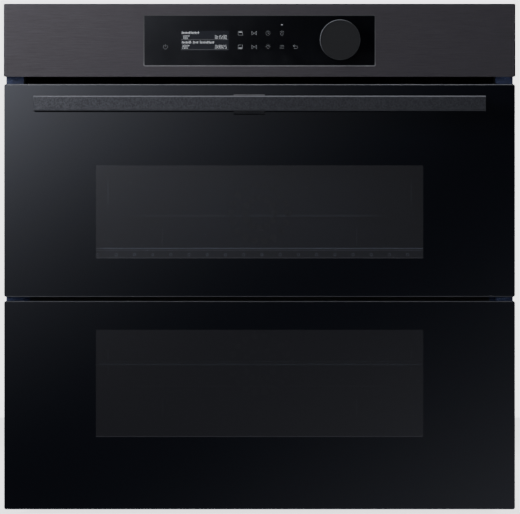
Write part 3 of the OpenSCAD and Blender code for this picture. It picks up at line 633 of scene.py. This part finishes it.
def stroke(shape, points, width, x0, z0):
    """A flat line of one width along points given in millimetres from a centre."""
    w = width / 2
    for (ax, az), (bx, bz) in zip(points, points[1:]):
        length = math.hypot(bx - ax, bz - az)
        if length < 1e-6:
            continue
        ux, uz = (bx - ax) / length, (bz - az) / length
        # Each part runs on a little past its points, so that corners close.
        past_x, past_z = ux * w * 0.6, uz * w * 0.6
        corners = [
            (ax - past_x - uz * w, az - past_z + ux * w),
            (bx + past_x - uz * w, bz + past_z + ux * w),
            (bx + past_x + uz * w, bz + past_z - ux * w),
            (ax - past_x + uz * w, az - past_z - ux * w),
        ]
        slab(shape, corners, x0, z0)


def slab(shape, corners, x0, z0):
    """A flat polygon standing just proud of the glass."""

    def ring(y):
        return [shape.verts.new(((x + x0) * MM, y, (z + z0) * MM)) for x, z in corners]

    front = ring(MARK_Y - MARK_T)
    back = ring(MARK_Y + MARK_T)
    shape.faces.new(front)
    shape.faces.new(list(reversed(back)))
    n = len(corners)
    for i in range(n):
        shape.faces.new([front[i], front[(i + 1) % n], back[(i + 1) % n], back[i]])


def tile(shape, w, h, x0, z0):
    """A flat rectangle about a centre, from its half width and half height."""
    slab(shape, [(-w, -h), (w, -h), (w, h), (-w, h)], x0, z0)


def arc(radius, start, end, steps=16, x=0.0, z=0.0):
    """Points along an arc between two angles in degrees."""
    angles = [math.radians(start + (end - start) * i / steps) for i in range(steps + 1)]
    return [(x + radius * math.cos(a), z + radius * math.sin(a)) for a in angles]


def box_line(w, h):
    return [(-w, -h), (w, -h), (w, h), (-w, h), (-w, -h)]


# Heights and places across for the marks, in millimetres, as seen from the front.
CENTRE_Z = (TRIM[0][2] + TRIM[1][2]) / 2 / MM
ROW_UP = CENTRE_Z + 8.6
ROW_DOWN = CENTRE_Z - 7.4
HEAT_X = -22.4
FAN_X = -6.3
CLOCK_X = 9.8
LAMP_X = CLOCK_X
USER_X = 26.0
MENU_X = USER_X
BACK_X = 41.8
POWER_X = -109.4
LINE = 0.26
THIN = LINE * 0.8


def heat_icon(shape, row, bar):
    """A square with a heating bar at its top or its foot."""
    stroke(shape, box_line(2.5, 2.3), LINE, HEAT_X, row)
    tile(shape, 1.8, 0.55, HEAT_X, row + bar)


def fan_icon(shape, row):
    """Two triangles that meet at the middle."""
    for side in (-1, 1):
        outer = 2.8 * side
        stroke(shape, [(outer, 2.2), (outer, -2.2), (0.3 * side, 0), (outer, 2.2)], LINE, FAN_X, row)


def clock_icon(shape):
    stroke(shape, arc(2.5, 0, 360, 28), THIN, CLOCK_X, ROW_UP)
    stroke(shape, [(0, 1.7), (0, 0), (1.2, -0.8)], LINE, CLOCK_X, ROW_UP)


def lamp_icon(shape):
    """A bulb over its foot, with five rays."""
    stroke(shape, arc(1.5, -50, 230, 20, 0, 0.3), LINE, LAMP_X, ROW_DOWN)
    stroke(shape, [(-0.9, -1.9), (0.9, -1.9)], LINE, LAMP_X, ROW_DOWN)
    for angle in range(0, 181, 45):
        ray = arc(2.3, angle, angle, 1)[:1] + arc(3.1, angle, angle, 1)[:1]
        stroke(shape, ray, THIN, LAMP_X, ROW_DOWN + 0.3)


def user_icon(shape):
    """A ring under a short arc."""
    stroke(shape, arc(1.6, 0, 360, 20, 0, -0.9), LINE, USER_X, ROW_UP)
    stroke(shape, arc(3.0, 35, 145, 12, 0, -0.6), LINE, USER_X, ROW_UP)


def menu_icon(shape):
    for z in (1.7, 0.0, -1.7):
        stroke(shape, [(-2.3, z), (2.3, z)], LINE * 0.7, MENU_X, ROW_DOWN)


def back_icon(shape):
    """An arrow that turns back to the left."""
    hook = [(-2.6, 1.2), (1.0, 1.2)] + arc(1.5, 90, -90, 12, 1.0, -0.3) + [(-1.8, -1.8)]
    stroke(shape, hook, LINE, BACK_X, ROW_DOWN)
    stroke(shape, [(-1.2, 2.6), (-2.7, 1.2), (-1.2, -0.2)], LINE, BACK_X, ROW_DOWN)


def power_icon(shape):
    stroke(shape, arc(2.4, 120, 420, 26), LINE, POWER_X, ROW_DOWN)
    stroke(shape, [(0, 3.0), (0, 0.4)], LINE, POWER_X, ROW_DOWN)


def icons(shape):
    for row, bar in ((ROW_UP, 1.2), (ROW_DOWN, -1.2)):
        heat_icon(shape, row, bar)
        fan_icon(shape, row)
    clock_icon(shape)
    lamp_icon(shape)
    user_icon(shape)
    menu_icon(shape)
    back_icon(shape)
    power_icon(shape)
    # A short dash above the icons.
    tile(shape, 1.2, 0.5, USER_X, CENTRE_Z + 18.4)


# Seven-stroke digits: each stroke, then the strokes of each digit.
SEGMENTS = {
    "a": [(-0.8, 1.5), (0.8, 1.5)],
    "b": [(0.8, 1.5), (0.8, 0.0)],
    "c": [(0.8, 0.0), (0.8, -1.5)],
    "d": [(-0.8, -1.5), (0.8, -1.5)],
    "e": [(-0.8, 0.0), (-0.8, -1.5)],
    "f": [(-0.8, 1.5), (-0.8, 0.0)],
    "g": [(-0.8, 0.0), (0.8, 0.0)],
}
SHAPES = {"0": "abcdef", "1": "bc", "2": "abged", "3": "abgcd", "5": "afgcd", "8": "abcdefg"}
TALL = 1.3
WIDE = 0.9
DIGIT_STEP = 2.45
COLON_STEP = 0.9


def digits(shape, word, x, z):
    """Upright seven-stroke digits, with a colon as two dots."""
    for letter in word:
        if letter == ":":
            for dz in (0.9, -0.9):
                tile(shape, 0.3, 0.3, x - 0.5, z + dz)
            x += COLON_STEP
        else:
            for part in SHAPES[letter]:
                stroke(shape, [(px * WIDE, pz * TALL) for px, pz in SEGMENTS[part]], 0.18, x, z)
            x += DIGIT_STEP


def bars(shape, start, end, z):
    """A generic line of short upright marks in place of a word."""
    heights = (3.2, 2.2, 2.2, 2.6, 2.2, 3.0)
    foot = -1.1
    stem = 0.34
    arm = 1.1
    count = max(2, round((end - start) / 1.7))
    for i in range(count):
        x = start + i * (end - start) / count
        head = foot + heights[i % len(heights)]
        slab(shape, [(0, foot), (stem, foot), (stem, head), (0, head)], x, z)
        slab(shape, [(stem, 0.5), (arm, 0.5), (arm, 0.8), (stem, 0.8)], x, z)


def readout(shape):
    """Two blocks of marks, each over a temperature and a time."""
    left = -90.1
    bars(shape, left, -69.6, CENTRE_Z + 8.8)
    for start, end in ((left, -78.6), (-77.2, -70.5), (-69.1, -52.0)):
        bars(shape, start, end, CENTRE_Z - 2.4)
    for row, degrees, time in ((4.0, "180", "0:15:30"), (-7.2, "200", "0:30:25")):
        digits(shape, degrees, -89.2, CENTRE_Z + row)
        stroke(shape, arc(0.5, 0, 360, 10), 0.3, -82.2, CENTRE_Z + row + 1.4)
        digits(shape, time, -50.8, CENTRE_Z + row)


def rules(shape):
    """Two faint lines under the blocks of the screen."""
    middle = (SCREEN[0] + SCREEN[1]) / 2 / MM - 0.4
    for z, half in ((CENTRE_Z + 1.2, 0.5), (CENTRE_Z - 10.4, 0.42)):
        tile(shape, 27.4, half, middle, z)


mesh_piece("printed_icons", icons, INK, "casing")
mesh_piece("lit_readout", readout, LIT, "casing")
mesh_piece("screen_rules", rules, RULE, "casing")


# ---------------------------------------------------------------- studio


def floor_paint(name, value, strength):
    """Pale matt floor that gives off enough light to look white."""
    m = Maker(name)
    m.feed("Base Color", m.ramp(m.noise(1.5), [(0.3, grey(value * 0.98)), (0.7, grey(value))]))
    m.feed("Roughness", 0.8)
    m.emit(grey(1), strength)
    return m.material


FLOOR_SIDE = 14
bpy.ops.mesh.primitive_plane_add(size=1)
floor = bpy.context.object
floor.name = "floor"
floor.scale = (FLOOR_SIDE, FLOOR_SIDE, 1)
# Just under the part, so that the two faces never share a plane.
floor.location = (0, 0, -0.0005)
floor.data.materials.append(floor_paint("floor_pale", 0.82, 2.2))
floor.visible_glossy = False
floor.visible_diffuse = False


def stage_shape(name, faces, material):
    """Flat faces that the camera sees, but that put no light or shadow on the oven."""
    data = bpy.data.meshes.new(name)
    shape = bmesh.new()
    for corners in faces:
        shape.faces.new([shape.verts.new(corner) for corner in corners])
    shape.to_mesh(data)
    shape.free()
    obj = bpy.data.objects.new(name, data)
    bpy.context.scene.collection.objects.link(obj)
    data.materials.append(material)
    obj.visible_diffuse = False
    obj.visible_glossy = False
    obj.visible_shadow = False
    return obj


def surround():
    """Four pale walls far round the oven, seen only from the inside."""
    m = Maker("surround_pale")
    light = m.new("ShaderNodeEmission")
    m.put(m.ramp(m.noise(0.8, 1.0), [(0.3, grey(0.96)), (0.7, grey(1.0))]), light.inputs["Color"])
    light.inputs["Strength"].default_value = 3.5
    clear = m.new("ShaderNodeBsdfTransparent")
    behind = m.new("ShaderNodeNewGeometry").outputs["Backfacing"]
    material = m.surface(m.blend(behind, light, clear))
    r, foot, top = 6.9, -0.1, 12.0
    ring = [(-r, -r), (-r, r), (r, r), (r, -r)]
    faces = []
    for (ax, ay), (bx, by) in zip(ring, ring[1:] + ring[:1]):
        faces.append([(ax, ay, foot), (bx, by, foot), (bx, by, top), (ax, ay, top)])
    stage_shape("surround", faces, material)


CARD_AWAY = 7.0
CARD_POWER = 29.0
# A mirrored point on the card stands this much further out than its picture on the door glass.
REACH = 1 + CARD_AWAY / DISTANCE


def card_glow(m):
    """Strength over the card, by the place on the door glass where each point is mirrored."""
    x, _, z = m.parts(m.stretched(1 / REACH, 1 / REACH, 1 / REACH))
    # Upper left: falls off to the right and downward, and faster for the display glass over the doors.
    slope = m.math("MULTIPLY_ADD", x, -0.45, m.math("MULTIPLY_ADD", z, 0.543, 0.373))
    slope = m.math("MULTIPLY_ADD", m.times(x, z), -0.526, slope)
    soft = m.math("POWER", m.smaller(m.larger(slope, 0.0), 0.66), 5.63)
    steep = m.times(m.times(soft, soft), 7.0)
    above = m.span(z, 0.204, 0.216)
    upper = m.add(m.times(soft, m.less(1.0, above)), m.times(steep, above))
    # Lower right: a fainter one.
    rise = m.math("MULTIPLY_ADD", x, 0.184, m.math("MULTIPLY_ADD", z, -0.264, 0.014))
    lower = m.math("POWER", m.smaller(m.larger(rise, 0.0), 0.2), 2.14)
    return m.add(upper, lower)


def reflected_card():
    """A large soft card behind the camera, bright at the upper left and a little at the lower right."""
    m = Maker("card_light")
    light = m.new("ShaderNodeEmission")
    light.inputs["Color"].default_value = (0.94, 0.97, 1.12, 1)
    m.put(m.times(card_glow(m), CARD_POWER), light.inputs["Strength"])
    w = 1.25
    square = [(-w, 0, -w), (w, 0, -w), (w, 0, w), (-w, 0, w)]
    card = stage_shape("reflected_card", [square], m.surface(light))
    card.location = (0, FRONT - CARD_AWAY, EYE_Z)
    # Seen only in reflections.
    card.visible_camera = False
    card.visible_glossy = True


surround()
reflected_card()


def area(name, size, place, target, power):
    """A rectangular light that faces a target."""
    data = bpy.data.lights.new(name, "AREA")
    data.shape = "RECTANGLE"
    data.size, data.size_y = size
    data.energy = power
    obj = bpy.data.objects.new(name, data)
    bpy.context.scene.collection.objects.link(obj)
    obj.location = place
    obj.rotation_euler = (Vector(target) - Vector(place)).to_track_quat("-Z", "Y").to_euler()
    return obj


area("key", (0.8, 0.8), (-1.05, -1.6, 1.0), (-0.4, FRONT, 0.44), 26)
area("top", (2.4, 2.0), (0, -0.6, 2.8), (0, 0, 0.3), 27)
area("rear", (2.0, 1.5), (0.8, 3.0, 2.0), (0, 0.3, 0.3), 40)
# Fills the front without a mirror image of its own in the glass.
front = area("front", (1.2, 0.6), (0, -4.0, 0.32), (0, FRONT, 0.3), 50)
front.visible_glossy = False
front.visible_transmission = False

# A weak light under the roof of the cavity, shining straight down.
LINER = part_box("cavity_liner")
lamp_place = (0.0, LINER[0][1] + 0.2, LINER[1][2] - 0.035)
lamp = area("cavity_light", (0.3, 0.25), lamp_place, (0, 0, 0), 0.25)
lamp.rotation_euler = (0, 0, 0)

world = bpy.data.worlds.new("World")
bpy.context.scene.world = world
world.use_nodes = True
backdrop = world.node_tree.nodes["Background"]
backdrop.inputs["Color"].default_value = (0.9, 0.93, 1.0, 1)
backdrop.inputs["Strength"].default_value = 0.22

bpy.context.view_layer.update()
